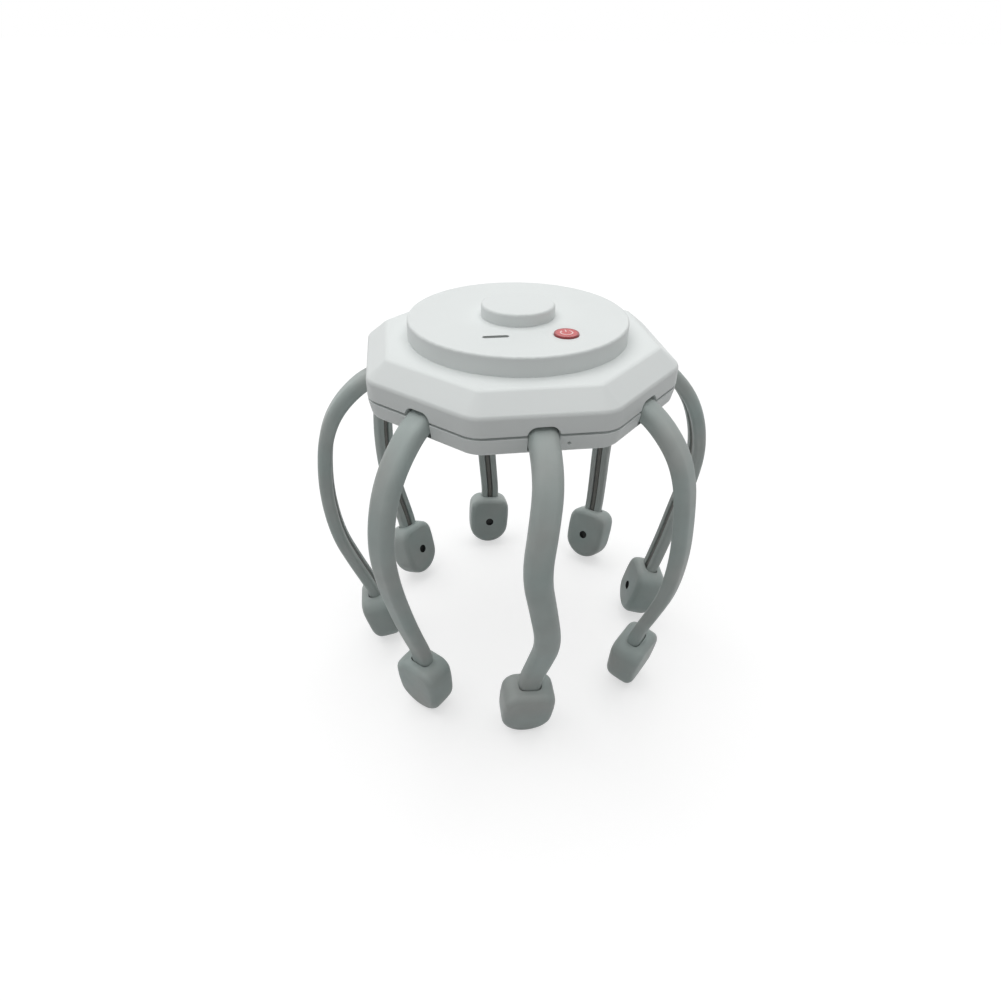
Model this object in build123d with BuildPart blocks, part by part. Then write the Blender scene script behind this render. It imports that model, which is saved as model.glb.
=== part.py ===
from build123d import *
import math
import os

# Electric scalp massager: an eight-sided two-shell housing with a raised disc and a centre
# boss, eight soft bent arms that leave it through arched notches on the parting line, and a
# vibrating massage head on the end of each arm.
# Millimetres. The origin is the centre of the housing's flat underside, with +Z up.

# ---- housing, outside ----
across_flats = 124.0          # between opposite sides at the parting line
corner_radius = 10.0          # upright corners of the octagon
lower_depth = 8.0             # depth of the lower shell
lower_draft = 1.4             # how far its sides lean in at the bottom
bottom_edge = 1.8             # bevelled lower rim
side_height = 7.6             # upright side of the upper shell
bevel_height = 6.8            # sloping shoulder
bevel_inset = 8.5
disc_diameter = 90.0
disc_height = 7.7
boss_diameter = 30.0
boss_height = 5.0
rim_edge = 0.8                # bevelled rims of disc and boss

# ---- housing, walls and fits ----
wall = 2.0
seam_gap = 0.4                # shadow line between the shells
lip_height = 1.6              # tongue of the lower shell inside the upper
lip_thickness = 0.8
fit_gap = 0.2                 # between parts that plug together
running_gap = 0.05            # between a shaft or screw and its hole

# ---- arms ----
arm_count = 8
arm_width = 11.4              # across, at the housing
arm_tip_width = 9.8           # across, at the massage head
arm_thickness = 6.6
arm_corner = 2.0              # bevel of the outward face
arm_inner_corner = 1.4        # bevel of the inward face
groove_width = 3.6            # lead channel down the inward face
groove_depth = 2.2
arm_sections = 10             # straight lengths that make up an arm's curve
flange_width = 15.4           # root that the shells trap
flange_height = 9.0
flange_thickness = 3.0
hinge_radius = 57.0           # where an arm flexes, just inside the side wall
root_length = 4.0             # from there to the arm's inner end
notch_width = 12.1            # arched opening in the side wall
notch_rise = 4.0              # above the parting line
notch_drop = 6.9              # below the parting line
notch_corner = 3.0            # arched upper corners
notch_foot_corner = 0.8       # lower corners, clear of the arm as it swings in
rib_radius = 50.0             # upright rib behind the arm roots
rib_thickness = 1.5
rib_width = 18.0

root_radius = hinge_radius - root_length

# An arm's centre line: distance from the centre, height from the parting line, and how much
# of the belly, calf and tip offsets below reaches that point.
arm_line = [
    (root_radius, 0.0, (0.0, 0.0, 0.0)),
    (60.8, 0.0, (0.0, 0.0, 0.0)),
    (74.9, -12.0, (0.0, 0.0, 0.0)),
    (82.9, -25.8, (0.5, 0.0, 0.0)),
    (86.6, -44.0, (1.0, 0.0, 0.0)),
    (86.4, -62.0, (0.5, 0.5, 0.0)),
    (83.2, -81.5, (0.0, 1.0, 0.0)),
    (78.6, -97.0, (0.0, 0.5, 0.5)),
]
neck_radius = 73.3            # centre line where the arm straightens above the head
neck_drop = 112.5

# The soft arms don't hang alike. For each: sideways and outward offset at belly, calf, tip.
arm_lean = {
    "front": ((-5.5, 1.5, -2.5), (0.0, 0.0, -1.5)),
    "front_right": ((0.0, 0.0, 0.5), (-2.5, 0.0, -1.0)),
    "right": ((-1.5, 0.0, 0.0), (1.0, -0.5, 2.5)),
    "rear_right": ((0.0, -0.5, -1.0), (0.0, 1.0, 8.5)),
    "rear": ((1.0, 2.5, 1.5), (0.0, 0.5, 6.5)),
    "rear_left": ((-0.5, 1.5, -0.5), (-0.5, 1.5, 4.5)),
    "left": ((0.0, 0.0, -1.0), (-1.0, 0.5, -1.5)),
    "front_left": ((0.0, 0.5, 1.2), (0.0, -3.0, -3.0)),
}

# Nor do the heads. For each: how far its foot tips inward, and how far to the side, degrees.
head_hang = {
    "front": (8.0, -4.0),
    "front_right": (8.6, 7.4),
    "right": (16.0, 0.0),
    "rear_right": (18.5, -3.0),
    "rear": (12.0, 4.5),
    "rear_left": (20.7, 5.0),
    "left": (12.0, -3.0),
    "front_left": (8.0, 2.5),
}

# ---- massage heads ----
head_width = 24.0
head_height = 29.0
head_thickness = 15.0
head_top_width = 23.0
head_foot_width = 18.6
head_shoulder = 12.0          # depth of the widest place below the top
head_top_corner = 3.4         # corners of its outline, each cut by two steps
head_foot_corner = 5.6
head_corner_step = 1.5
head_edge = 3.0               # bevel round the inner and outer faces
head_toe_rise = 11.0          # slanted toe below the outward face
head_toe_depth = 3.5
head_heel_rise = 7.0          # and below the inward face
head_heel_depth = 1.5
neck_length = 5.0             # straight arm above the head
socket_depth = 6.5            # arm end inside the head
motor_seat = 0.4              # from the arm's end to the motor
dimple_diameter = 4.0         # blind hole in the inward face
dimple_depth = 1.8
dimple_drop = 15.2

# ---- vibration motors ----
motor_diameter = 10.0
motor_flats = 8.0
motor_corner = 1.6
motor_length = 11.0
shaft_diameter = 1.5
shaft_seat = 3.0              # length of shaft inside the can
weight_radius = 4.2
weight_length = 4.0
weight_gap = 0.5              # from the can to the weight
weight_clearance = 0.6        # round the spinning weight
chamber_foot_gap = 0.8        # below the weight

# ---- power button and indicator ----
button_diameter = 10.7
button_x = 14.8
button_y = -23.5
button_rise = 0.7             # proud of the disc
button_gap = 0.15
button_flange = 1.0           # wider than the hole by this much all round
button_flange_height = 1.2
button_travel = 0.6
button_stem_diameter = 3.0
button_edge = 0.4
recess_diameter = 15.6
recess_depth = 0.35
indicator_x = -12.2
indicator_length = 9.9
indicator_width = 1.8
indicator_sink = 0.15

# ---- inside the housing ----
small_round = 12              # sides that small hidden round parts are drawn with
hollow_round = 24             # sides of the hollows under the disc and the boss
board_across = 66.0           # between opposite sides of the eight-sided board
board_thickness = 1.6
board_drop = 6.6              # underside of the disc to the top of the board
post_diameter = 6.0
post_circle = 28.0
post_count = 3
post_start = 90.0
board_screw_diameter = 1.8
board_screw_head = 3.8
board_screw_head_height = 1.4
board_screw_length = 6.0
switch_size = 6.0
switch_height = 3.4
plunger_diameter = 3.4
plunger_rise = 1.0
plunger_seat = 1.0
led_length = 3.2
led_width = 1.6
led_height = 1.1
battery_length = 50.0
battery_width = 34.0
battery_height = 6.5
tray_height = 2.0
tray_thickness = 1.2
case_screw_count = 4          # towards four of the eight corners
boss_circle = 54.0
case_boss_diameter = 7.5
case_screw_diameter = 2.6
case_screw_head = 5.4
case_screw_head_height = 2.2
case_screw_length = 10.0
case_seat = 1.2               # material between a screw head and the parting line
case_hole_clearance = 0.4
reset_x = 9.3                 # pinhole in the front of the lower shell
reset_drop = 3.8
reset_diameter = 1.0
socket_x = 17.0               # charging socket, beside the rear arm
charge_socket_width = 8.9
charge_socket_height = 3.2
charge_socket_corner = 0.9
charge_socket_length = 7.3
charge_socket_wall = 0.35
charge_tongue_width = 6.6
charge_tongue_height = 0.7
charge_tongue_length = 5.0
charge_board_width = 12.0
charge_board_length = 13.0
charge_board_thickness = 1.0
charge_board_gap = 0.6        # from the board to the side wall
lead_width = 2.8              # flat two-core lead
lead_thickness = 1.4
tail_radius = 31.5            # where the arm leads meet the board
lead_end_gap = 0.6            # from a tail to the lead in the arm, which tips with it
battery_lead_reach = 4.5      # from the battery's end to where its lead turns up
charge_lead_y = 28.0

# ---- heights and places worked out ----
parting_z = lower_depth
shoulder_z = parting_z + side_height
plate_z = shoulder_z + bevel_height
disc_z = plate_z + disc_height
boss_z = disc_z + boss_height
apothem = across_flats / 2
bevel_slope = math.degrees(math.atan2(bevel_height, bevel_inset))
bevel_taper = 90 - bevel_slope
lower_taper = math.degrees(math.atan2(lower_draft, lower_depth - seam_gap))
inner_apothem = apothem - wall
lip_apothem = inner_apothem - fit_gap
inner_shoulder_z = shoulder_z - wall * math.tan(math.radians(bevel_taper / 2))
ceiling_z = plate_z - wall
disc_ceiling_z = disc_z - wall
floor_z = wall
board_top_z = disc_ceiling_z - board_drop
board_z = board_top_z - board_thickness
facet_half_turn = 360 / arm_count / 2
front_azimuth = -90.0
case_screw_start = front_azimuth + facet_half_turn
rib_outer = rib_radius + rib_thickness
head_names = list(arm_lean)


def at(azimuth, radius, side, z):
    """Point at a distance out from the centre and to the side of a facet's middle line."""
    turn = math.radians(azimuth)
    return Vector(
        radius * math.cos(turn) - side * math.sin(turn),
        radius * math.sin(turn) + side * math.cos(turn),
        z,
    )


def azimuth_of(name):
    """Direction of an arm, seen from above."""
    return front_azimuth + head_names.index(name) * 360 / arm_count


def level(z):
    """Flat plane at a height."""
    return Plane.XY.offset(z)


def facet_plane(azimuth, radius, z):
    """Plane facing out of a facet: local x to the side, local y up."""
    return Plane(origin=at(azimuth, radius, 0, z), x_dir=at(azimuth, 0, 1, 0), z_dir=at(azimuth, 1, 0, 0))


def octagon(z, flat_radius, corner=0.0):
    """Eight-sided outline with a flat to the front, its corners rounded or sharp."""
    with BuildSketch(level(z)) as outline:
        RegularPolygon(flat_radius, arm_count, major_radius=False, rotation=facet_half_turn)
        if corner > 0:
            fillet(outline.vertices(), corner)
    return outline.sketch


def small_circle(radius):
    """Round outline of a small hidden part, in few sides."""
    return RegularPolygon(radius, small_round)


def socket_outline(more=0.0):
    """Mouth of the charging socket with its ends cut to slants, larger by an amount."""
    with BuildSketch() as mouth:
        Rectangle(charge_socket_width + more, charge_socket_height + more)
        chamfer(mouth.vertices(), charge_socket_corner)
    return mouth.sketch


def tangent_radii(points, share=0.45):
    """Largest bend radii that leave each run most of its length."""
    radii = []
    for before, corner, after in zip(points, points[1:], points[2:]):
        half_turn = math.radians((corner - before).get_angle(after - corner)) / 2
        run = min((corner - before).length, (after - corner).length)
        radii.append(share * run / math.tan(half_turn))
    return radii


def publish(part, name):
    """Label a finished piece and write it."""
    part.label = name
    export_step(part, f"parts/{name}.step")


os.makedirs("parts", exist_ok=True)

# ---- places shared by the shells and what they hold ----
button_point = (button_x, button_y)
indicator_point = (indicator_x, button_y)
head_seat_z = parting_z - case_seat - case_screw_head_height
case_boss_z = parting_z - seam_gap / 2
socket_y = inner_apothem - charge_socket_length + wall / 2
charge_board_z = floor_z + charge_board_thickness
charge_board_end = lip_apothem - lip_thickness - charge_board_gap
socket_mid_z = charge_board_z + charge_socket_height / 2

# ---- arched notches, cut from both shells ----
with BuildPart() as notches:
    for name in head_names:
        with BuildSketch(facet_plane(azimuth_of(name), rib_outer, parting_z)) as arch:
            with Locations((0, (notch_rise - notch_drop) / 2)):
                Rectangle(notch_width, notch_rise + notch_drop)
            fillet(arch.vertices().sort_by(Axis.Y)[-2:], notch_corner)
            chamfer(arch.vertices().sort_by(Axis.Y)[:2], notch_foot_corner)
        extrude(amount=apothem - rib_outer + wall)

# ---- hollow of the upper shell, less what stands in it ----
with BuildPart() as upper_hollow:
    add(octagon(parting_z - wall, inner_apothem))
    extrude(amount=inner_shoulder_z - parting_z + wall)
    add(octagon(inner_shoulder_z, inner_apothem))
    extrude(amount=ceiling_z - inner_shoulder_z, taper=bevel_taper)
    with BuildSketch(level(ceiling_z)):
        RegularPolygon(disc_diameter / 2 - wall, hollow_round)
    extrude(amount=disc_ceiling_z - ceiling_z)
    with BuildSketch(level(disc_ceiling_z)):
        RegularPolygon(boss_diameter / 2 - wall, hollow_round)
    extrude(amount=boss_height)
    # screw bosses, board posts and the ribs behind the arm roots
    with BuildSketch(level(case_boss_z)):
        with PolarLocations(boss_circle, case_screw_count, case_screw_start):
            small_circle(case_boss_diameter / 2)
    extrude(amount=ceiling_z, mode=Mode.SUBTRACT)
    with BuildSketch(level(board_top_z)):
        with PolarLocations(post_circle, post_count, post_start):
            small_circle(post_diameter / 2)
    extrude(amount=disc_z, mode=Mode.SUBTRACT)
    for name in head_names:
        with BuildSketch(facet_plane(azimuth_of(name), rib_radius, 0)):
            with Locations((0, case_boss_z + ceiling_z / 2)):
                Rectangle(rib_width, ceiling_z)
        extrude(amount=rib_thickness, mode=Mode.SUBTRACT)

# ---- upper shell ----
with BuildPart() as top_cover:
    add(octagon(parting_z, apothem, corner_radius))
    extrude(amount=side_height)
    add(octagon(shoulder_z, apothem, corner_radius))
    extrude(amount=bevel_height, taper=bevel_taper)
    with BuildSketch(level(plate_z)):
        Circle(disc_diameter / 2)
    extrude(amount=disc_height)
    chamfer(top_cover.faces().sort_by(Axis.Z)[-1].edges(), rim_edge)
    with BuildSketch(level(disc_z)):
        Circle(boss_diameter / 2)
    extrude(amount=boss_height)
    chamfer(top_cover.faces().sort_by(Axis.Z)[-1].edges(), rim_edge)
    add(upper_hollow.part, mode=Mode.SUBTRACT)
    add(notches.part, mode=Mode.SUBTRACT)
    # button hole in its shallow round recess, and the indicator slot
    with BuildSketch(level(disc_z)):
        with Locations(button_point):
            Circle(recess_diameter / 2)
    extrude(amount=-recess_depth, mode=Mode.SUBTRACT)
    with BuildSketch(level(disc_z)):
        with Locations(button_point):
            Circle(button_diameter / 2 + button_gap)
        with Locations(indicator_point):
            SlotOverall(indicator_length, indicator_width)
    extrude(amount=-wall, mode=Mode.SUBTRACT)
    # pilot holes
    with BuildSketch(level(case_boss_z)):
        with PolarLocations(boss_circle, case_screw_count, case_screw_start):
            small_circle(case_screw_diameter / 2 + running_gap)
    extrude(amount=case_screw_length, mode=Mode.SUBTRACT)
    with BuildSketch(level(board_top_z)):
        with PolarLocations(post_circle, post_count, post_start):
            small_circle(board_screw_diameter / 2 + running_gap)
    extrude(amount=board_screw_length - board_thickness + fit_gap, mode=Mode.SUBTRACT)
publish(top_cover.part, "top_cover")

# ---- hollow of the lower shell, less what stands in it ----
with BuildPart() as lower_hollow:
    add(octagon(floor_z, lip_apothem - lip_thickness))
    extrude(amount=parting_z + lip_height - floor_z)
    with BuildSketch(level(0)):
        with PolarLocations(boss_circle, case_screw_count, case_screw_start):
            small_circle(case_boss_diameter / 2)
    extrude(amount=case_boss_z, mode=Mode.SUBTRACT)
    for name in head_names:
        with BuildSketch(facet_plane(azimuth_of(name), rib_radius, 0)):
            with Locations((0, case_boss_z / 2)):
                Rectangle(rib_width, case_boss_z)
            with Locations((0, parting_z)):
                Rectangle(groove_width + fit_gap, 2 * groove_depth + arm_thickness, mode=Mode.SUBTRACT)
        extrude(amount=rib_thickness, mode=Mode.SUBTRACT)
    with BuildSketch(level(floor_z)):
        Rectangle(
            battery_length + 2 * (fit_gap + tray_thickness), battery_width + 2 * (fit_gap + tray_thickness)
        )
        Rectangle(battery_length + 2 * fit_gap, battery_width + 2 * fit_gap, mode=Mode.SUBTRACT)
    extrude(amount=tray_height, mode=Mode.SUBTRACT)

# ---- lower shell ----
with BuildPart() as bottom_cover:
    add(octagon(parting_z - seam_gap, apothem, corner_radius))
    extrude(amount=seam_gap - parting_z, taper=lower_taper)
    chamfer(bottom_cover.faces().sort_by(Axis.Z)[0].edges(), bottom_edge)
    add(octagon(parting_z - seam_gap, lip_apothem))
    extrude(amount=seam_gap + lip_height)
    add(lower_hollow.part, mode=Mode.SUBTRACT)
    add(notches.part, mode=Mode.SUBTRACT)
    # screw holes from below
    with BuildSketch(level(0)):
        with PolarLocations(boss_circle, case_screw_count, case_screw_start):
            small_circle(case_screw_head / 2 + fit_gap)
    extrude(amount=head_seat_z + case_screw_head_height, mode=Mode.SUBTRACT)
    with BuildSketch(level(0)):
        with PolarLocations(boss_circle, case_screw_count, case_screw_start):
            small_circle((case_screw_diameter + case_hole_clearance) / 2)
    extrude(amount=parting_z, mode=Mode.SUBTRACT)
    # charging opening at the rear, reset pinhole at the front
    with BuildSketch(facet_plane(front_azimuth + 180, socket_y, socket_mid_z)):
        with Locations((-socket_x, 0)):
            add(socket_outline(2 * fit_gap))
    extrude(amount=apothem, mode=Mode.SUBTRACT)
    with BuildSketch(facet_plane(front_azimuth, rib_outer, parting_z - reset_drop)):
        with Locations((reset_x, 0)):
            small_circle(reset_diameter / 2)
    extrude(amount=apothem, mode=Mode.SUBTRACT)
publish(bottom_cover.part, "bottom_cover")

# ---- case screws ----
with BuildPart() as case_screws:
    with BuildSketch(level(head_seat_z)):
        with PolarLocations(boss_circle, case_screw_count, case_screw_start):
            small_circle(case_screw_head / 2)
    extrude(amount=case_screw_head_height)
    with BuildSketch(level(head_seat_z + case_screw_head_height)):
        with PolarLocations(boss_circle, case_screw_count, case_screw_start):
            small_circle(case_screw_diameter / 2)
    extrude(amount=case_screw_length - case_screw_head_height)
publish(case_screws.part, "case_screws")

# ---- circuit board, its screws and what is soldered to it ----
with BuildPart() as circuit_board:
    with BuildSketch(level(board_z)):
        add(octagon(board_z, board_across / 2))
        with PolarLocations(post_circle, post_count, post_start):
            RegularPolygon(board_screw_diameter / 2 + fit_gap, small_round, mode=Mode.SUBTRACT)
    extrude(amount=board_thickness)
publish(circuit_board.part, "circuit_board")

with BuildPart() as board_screws:
    with BuildSketch(level(board_z - board_screw_head_height)):
        with PolarLocations(post_circle, post_count, post_start):
            small_circle(board_screw_head / 2)
    extrude(amount=board_screw_head_height)
    with BuildSketch(level(board_z)):
        with PolarLocations(post_circle, post_count, post_start):
            small_circle(board_screw_diameter / 2)
    extrude(amount=board_screw_length)
publish(board_screws.part, "board_screws")

switch_top_z = board_top_z + switch_height
plunger_top_z = switch_top_z + plunger_rise
plunger_foot_z = switch_top_z - plunger_seat

with BuildPart() as switch_body:
    with BuildSketch(level(board_top_z)):
        with Locations(button_point):
            Rectangle(switch_size, switch_size)
    extrude(amount=switch_height)
    with BuildSketch(level(switch_top_z)):
        with Locations(button_point):
            small_circle(plunger_diameter / 2 + fit_gap)
    extrude(amount=-(plunger_seat + button_travel + fit_gap), mode=Mode.SUBTRACT)
publish(switch_body.part, "switch_body")

with BuildPart() as switch_plunger:
    with BuildSketch(level(plunger_foot_z)):
        with Locations(button_point):
            small_circle(plunger_diameter / 2)
    extrude(amount=plunger_top_z - plunger_foot_z)
publish(switch_plunger.part, "switch_plunger")

button_flange_top_z = disc_ceiling_z - button_gap
button_flange_foot_z = button_flange_top_z - button_flange_height

with BuildPart() as power_button:
    with BuildSketch(level(button_flange_foot_z)):
        with Locations(button_point):
            small_circle(button_diameter / 2 + button_flange)
    extrude(amount=button_flange_height)
    with BuildSketch(level(button_flange_top_z)):
        with Locations(button_point):
            Circle(button_diameter / 2)
    extrude(amount=disc_z + button_rise - button_flange_top_z)
    chamfer(power_button.faces().sort_by(Axis.Z)[-1].edges(), button_edge)
    with BuildSketch(level(plunger_top_z)):
        with Locations(button_point):
            small_circle(button_stem_diameter / 2)
    extrude(amount=button_flange_foot_z - plunger_top_z)
publish(power_button.part, "power_button")

with BuildPart() as indicator_led:
    with BuildSketch(level(board_top_z)):
        with Locations(indicator_point):
            Rectangle(led_length, led_width)
    extrude(amount=led_height)
publish(indicator_led.part, "indicator_led")

guide_foot_z = board_top_z + led_height + 2 * fit_gap
with BuildPart() as light_guide:
    with BuildSketch(level(disc_ceiling_z - button_flange)):
        with Locations(indicator_point):
            Rectangle(indicator_length + 2 * button_flange, indicator_width + 2 * button_flange)
    extrude(amount=button_flange)
    with BuildSketch(level(disc_ceiling_z)):
        with Locations(indicator_point):
            SlotOverall(indicator_length - fit_gap, indicator_width - fit_gap)
    extrude(amount=wall - indicator_sink)
    with BuildSketch(level(guide_foot_z)):
        with Locations(indicator_point):
            Rectangle(led_length, led_width)
    extrude(amount=disc_ceiling_z - button_flange - guide_foot_z)
publish(light_guide.part, "light_guide")

# ---- battery and charging parts in the lower shell ----
with BuildPart() as battery:
    with BuildSketch(level(floor_z)):
        Rectangle(battery_length, battery_width)
    extrude(amount=battery_height)
publish(battery.part, "battery")

with BuildPart() as charge_board:
    with BuildSketch(level(floor_z)):
        with Locations((socket_x, charge_board_end - charge_board_length / 2)):
            Rectangle(charge_board_width, charge_board_length)
    extrude(amount=charge_board_thickness)
publish(charge_board.part, "charge_board")

with BuildPart() as charge_socket:
    with BuildSketch(facet_plane(front_azimuth + 180, socket_y, socket_mid_z)):
        with Locations((-socket_x, 0)):
            add(socket_outline())
    extrude(amount=charge_socket_length)
    with BuildSketch(facet_plane(front_azimuth + 180, socket_y + charge_socket_wall, socket_mid_z)):
        with Locations((-socket_x, 0)):
            add(socket_outline(-2 * charge_socket_wall))
    extrude(amount=charge_socket_length, mode=Mode.SUBTRACT)
    with BuildSketch(facet_plane(front_azimuth + 180, socket_y + charge_socket_wall, socket_mid_z)):
        with Locations((-socket_x, 0)):
            Rectangle(charge_tongue_width, charge_tongue_height)
    extrude(amount=charge_tongue_length)
publish(charge_socket.part, "charge_socket")


def ribbon(points, across):
    """Flat folded lead along straight runs, its wide side along a given direction."""
    with BuildPart() as lead:
        with BuildLine() as route:
            Polyline(*points)
        line = route.wire()
        with BuildSketch(Plane(origin=line @ 0, x_dir=across, z_dir=line % 0)):
            Rectangle(lead_width, lead_thickness)
        sweep(path=line, transition=Transition.RIGHT)
    return lead.part


battery_lead_x = battery_length / 2 + battery_lead_reach
battery_lead = ribbon(
    [
        (battery_length / 2, 0, floor_z + battery_height / 2),
        (battery_lead_x, 0, floor_z + battery_height / 2),
        (battery_lead_x, 0, board_z),
    ],
    (0, 1, 0),
)
publish(battery_lead, "battery_lead")

charge_lead_z = charge_board_z + lead_thickness / 2
charge_lead_start = charge_board_end - charge_board_length
charge_lead = ribbon(
    [
        (socket_x, charge_lead_start + lead_width, charge_lead_z),
        (socket_x, charge_lead_y, charge_lead_z),
        (socket_x, charge_lead_y, board_z),
    ],
    (1, 0, 0),
)
publish(charge_lead, "charge_lead")

# ---- leads from the arm roots to the board ----
groove_floor = groove_depth - arm_thickness / 2
lead_depth = arm_thickness / 2 - groove_depth + fit_gap + lead_thickness / 2
tail_start = root_radius - lead_end_gap
tail_z = parting_z - lead_depth
with BuildPart() as lead_tails:
    for name in head_names:
        heading = azimuth_of(name)
        tail_points = [
            at(heading, tail_start, 0, tail_z),
            at(heading, tail_radius, 0, tail_z),
            at(heading, tail_radius, 0, board_z),
        ]
        add(ribbon(tail_points, at(heading, 0, 1, 0)))
publish(lead_tails.part, "lead_tails")


# ---- arms, with their leads, massage heads and motors ----
def arm_points(name):
    """Corner points of an arm's centre line, and the direction its head hangs in."""
    heading = azimuth_of(name)
    side_lean, out_lean = arm_lean[name]
    points = []
    for radius, height, shares in arm_line:
        side = sum(share * lean for share, lean in zip(shares, side_lean))
        out = sum(share * lean for share, lean in zip(shares, out_lean))
        points.append(at(heading, radius + out, side, parting_z + height))
    tilt, lean = (math.radians(angle) for angle in head_hang[name])
    hang = at(heading, -math.sin(tilt) * math.cos(lean), math.sin(lean), -math.cos(tilt) * math.cos(lean))
    neck = at(heading, neck_radius + out_lean[2], side_lean[2], parting_z - neck_drop)
    points.append(neck)
    points.append(neck + hang * neck_length)
    return points, hang


def arm_section(plane, width, swell=0.0):
    """Arm profile: outward side rounded, lead groove down the inward side."""
    half = width / 2 + swell
    deep = arm_thickness / 2 + swell
    corner = arm_corner + swell
    inner = arm_inner_corner + swell
    with BuildSketch(plane) as profile:
        with BuildLine():
            Polyline(
                (half, deep - corner),
                (half - corner, deep),
                (-half + corner, deep),
                (-half, deep - corner),
                (-half, -deep + inner),
                (-half + inner, -deep),
                (half - inner, -deep),
                (half, -deep + inner),
                close=True,
            )
        make_face()
    return profile.sketch


def stations(line, across):
    """Planes square to an arm's centre line, with how far along each lies."""
    for step in range(arm_sections + 1):
        share = step / arm_sections
        along = line % share
        level_across = across - along * across.dot(along)
        yield share, Plane(origin=line @ share, x_dir=level_across, z_dir=along)


for name in head_names:
    heading = azimuth_of(name)
    across = at(heading, 0, 1, 0)
    points, hang = arm_points(name)
    with BuildLine() as centre_route:
        FilletPolyline(*points, radius=tangent_radii(points))
    centre_line = centre_route.wire()

    # the arm straightens into its head, where its end is a plain plug
    head_across = (across - hang * across.dot(hang)).normalized()
    tip_plane = Plane(origin=points[-1], x_dir=head_across, z_dir=hang)
    with BuildPart() as channel:
        for share, plane in stations(centre_line, across):
            with BuildSketch(plane):
                with Locations((0, groove_floor - arm_thickness / 2)):
                    Rectangle(groove_width, arm_thickness)
        loft(ruled=True)
        with BuildSketch(tip_plane):
            with Locations((0, groove_floor - arm_thickness / 2)):
                Rectangle(groove_width, arm_thickness)
        extrude(amount=socket_depth)

    with BuildPart() as arm:
        for share, plane in stations(centre_line, across):
            add(arm_section(plane, arm_width + share * (arm_tip_width - arm_width)))
        loft(ruled=True)
        extrude(arm_section(tip_plane, arm_tip_width), amount=socket_depth, dir=hang)
        with BuildSketch(facet_plane(heading, root_radius, parting_z)):
            Rectangle(flange_width, flange_height)
        extrude(amount=flange_thickness)
        add(channel.part, mode=Mode.SUBTRACT)
    publish(arm.part, f"arm_{name}")

    with BuildPart() as lead:
        for share, plane in stations(centre_line, across):
            with BuildSketch(plane):
                with Locations((0, -lead_depth)):
                    Rectangle(lead_width, lead_thickness)
        loft(ruled=True)
        with BuildSketch(tip_plane):
            with Locations((0, -lead_depth)):
                Rectangle(lead_width, lead_thickness)
        extrude(amount=socket_depth)
    publish(lead.part, f"lead_{name}")

    # massage head: local x across, y up its length, z out of its outward face
    head_plane = Plane(origin=points[-1], x_dir=head_across, z_dir=head_across.cross(hang * -1))
    can_plane = tip_plane.offset(socket_depth + motor_seat)
    with BuildPart() as massage_head:
        with BuildSketch(head_plane.offset(-head_thickness / 2)) as shield:
            with BuildLine():
                Polyline(
                    (-head_top_width / 2, 0),
                    (head_top_width / 2, 0),
                    (head_width / 2, -head_shoulder),
                    (head_foot_width / 2, -head_height),
                    (-head_foot_width / 2, -head_height),
                    (-head_width / 2, -head_shoulder),
                    close=True,
                )
            make_face()
            chamfer(shield.vertices().sort_by(Axis.Y)[:2], head_foot_corner)
            chamfer(shield.vertices().sort_by(Axis.Y)[-2:], head_top_corner)
            chamfer(shield.vertices().sort_by(Axis.Y)[:4], head_corner_step)
            chamfer(shield.vertices().sort_by(Axis.Y)[-4:], head_corner_step)
        extrude(amount=head_thickness)
        flat_faces = massage_head.faces().filter_by(Axis(points[-1], head_plane.z_dir))
        chamfer(flat_faces.edges(), head_edge)
        # the foot is thinner than the top
        with BuildSketch(Plane(origin=points[-1], x_dir=head_plane.z_dir, z_dir=head_across * -1)):
            with BuildLine():
                Polyline(
                    (head_thickness / 2, head_toe_rise - head_height),
                    (head_thickness / 2, -head_height),
                    (head_thickness / 2 - head_toe_depth, -head_height),
                    close=True,
                )
            make_face()
            with BuildLine():
                Polyline(
                    (-head_thickness / 2, head_heel_rise - head_height),
                    (-head_thickness / 2, -head_height),
                    (head_heel_depth - head_thickness / 2, -head_height),
                    close=True,
                )
            make_face()
        extrude(amount=head_width, both=True, mode=Mode.SUBTRACT)
        # socket for the arm's end, then the chamber for the motor and its weight
        extrude(
            arm_section(tip_plane, arm_tip_width, fit_gap),
            amount=socket_depth + fit_gap,
            dir=hang,
            mode=Mode.SUBTRACT,
        )
        with BuildSketch(can_plane.offset(-fit_gap)):
            Rectangle(motor_diameter + 2 * fit_gap, motor_flats + 2 * fit_gap)
        extrude(amount=motor_length + 2 * fit_gap, mode=Mode.SUBTRACT)
        with BuildSketch(can_plane.offset(motor_length)):
            small_circle(weight_radius + weight_clearance)
        extrude(amount=weight_gap + weight_length + chamber_foot_gap, mode=Mode.SUBTRACT)
        # blind dimple in the inward face
        with BuildSketch(head_plane.offset(-head_thickness / 2)):
            with Locations((0, -dimple_drop)):
                small_circle(dimple_diameter / 2)
        extrude(amount=dimple_depth, mode=Mode.SUBTRACT)
    publish(massage_head.part, f"massage_head_{name}")

    with BuildPart() as motor:
        with BuildSketch(can_plane) as can:
            Rectangle(motor_diameter, motor_flats)
            chamfer(can.vertices(), motor_corner)
        extrude(amount=motor_length)
        with BuildSketch(can_plane.offset(motor_length)):
            Circle(shaft_diameter / 2 + running_gap)
        extrude(amount=-(shaft_seat + fit_gap), mode=Mode.SUBTRACT)
    publish(motor.part, f"motor_{name}")

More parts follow.
